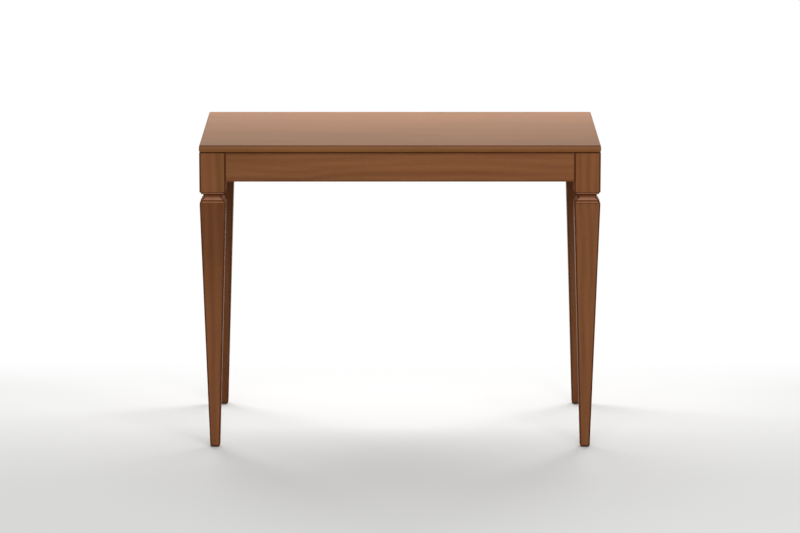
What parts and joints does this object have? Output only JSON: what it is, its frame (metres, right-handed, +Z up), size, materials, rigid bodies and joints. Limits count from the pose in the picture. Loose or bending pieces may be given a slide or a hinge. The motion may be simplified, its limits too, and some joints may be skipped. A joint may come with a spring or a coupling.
{
  "type": "extending console table",
  "caption": "Wooden console table with tapered legs under a moulded collar; its front frame pulls out on telescopic slides to open into a long dining table.",
  "frame": {"origin": "on the floor, under the middle of the closed table", "axes": "+Z up, +X along the width to the right of someone who faces the front, -Y out of the front"},
  "size_m": [1, 0.55, 0.775],
  "materials": {
    "stained_wood": "walnut brown stain under satin lacquer",
    "plain_beech": "planed, unfinished",
    "aluminium": "extruded, satin anodised",
    "zinc_steel": "bright zinc plate",
    "nylon": "moulded, black",
    "foot_plastic": "moulded, dark brown"
  },
  "bodies": {
    "rear_frame": {"left_front_spacer_block": "plain_beech", "left_rear_spacer_block": "plain_beech", "left_side_apron": "stained_wood", "left_slide_bar_1": "aluminium", "left_slide_bearer": "plain_beech", "nylon_glides_1": "nylon", "rear_apron": "stained_wood", "rear_block_screws": "zinc_steel", "rear_dowels": "plain_beech", "rear_foot_glides": "foot_plastic", "rear_left_corner_block": "plain_beech", "rear_left_leg": "stained_wood", "rear_leg_bolts": "zinc_steel", "rear_leg_nuts": "zinc_steel", "rear_right_corner_block": "plain_beech", "rear_right_leg": "stained_wood", "right_front_spacer_block": "plain_beech", "right_rear_spacer_block": "plain_beech", "right_side_apron": "stained_wood", "right_slide_bar_1": "aluminium", "right_slide_bearer": "plain_beech", "slide_bar_screws": "zinc_steel", "stop_pins_1": "zinc_steel", "top_panel": "stained_wood", "top_screws": "zinc_steel"},
    "second_stage": {"cross_tie_2": "aluminium", "left_slide_bar_2": "aluminium", "nylon_glides_2": "nylon", "right_slide_bar_2": "aluminium", "stop_pins_2": "zinc_steel", "tie_screws_2": "zinc_steel"},
    "third_stage": {"cross_tie_3": "aluminium", "left_slide_bar_3": "aluminium", "nylon_glides_3": "nylon", "right_slide_bar_3": "aluminium", "stop_pins_3": "zinc_steel", "tie_screws_3": "zinc_steel"},
    "fourth_stage": {"cross_tie_4": "aluminium", "left_slide_bar_4": "aluminium", "nylon_glides_4": "nylon", "right_slide_bar_4": "aluminium", "stop_pins_4": "zinc_steel", "tie_screws_4": "zinc_steel"},
    "front_frame": {"front_apron": "stained_wood", "front_block_screws": "zinc_steel", "front_dowels": "plain_beech", "front_foot_glides": "foot_plastic", "front_left_corner_block": "plain_beech", "front_left_leg": "stained_wood", "front_leg_bolts": "zinc_steel", "front_leg_nuts": "zinc_steel", "front_right_corner_block": "plain_beech", "front_right_leg": "stained_wood", "left_slide_bar_5": "aluminium", "left_slide_bracket": "zinc_steel", "nylon_glides_5": "nylon", "right_slide_bar_5": "aluminium", "right_slide_bracket": "zinc_steel", "slide_bracket_screws": "zinc_steel"}
  },
  "joints": [
    {"name": "second_stage_slide", "type": "slide", "parent": "rear_frame", "child": "second_stage", "axis": [0, -1, 0], "range_m": [0, 0.375]},
    {"name": "third_stage_slide", "type": "slide", "parent": "second_stage", "child": "third_stage", "axis": [0, -1, 0], "range_m": [0, 0.375]},
    {"name": "fourth_stage_slide", "type": "slide", "parent": "third_stage", "child": "fourth_stage", "axis": [0, -1, 0], "range_m": [0, 0.375]},
    {"name": "front_frame_slide", "type": "slide", "parent": "fourth_stage", "child": "front_frame", "axis": [0, -1, 0], "range_m": [0, 0.375]}
  ],
  "couplings": [
    {"joint": "second_stage_slide", "follows": "front_frame_slide", "ratio": 1},
    {"joint": "third_stage_slide", "follows": "front_frame_slide", "ratio": 1},
    {"joint": "fourth_stage_slide", "follows": "front_frame_slide", "ratio": 1}
  ]
}
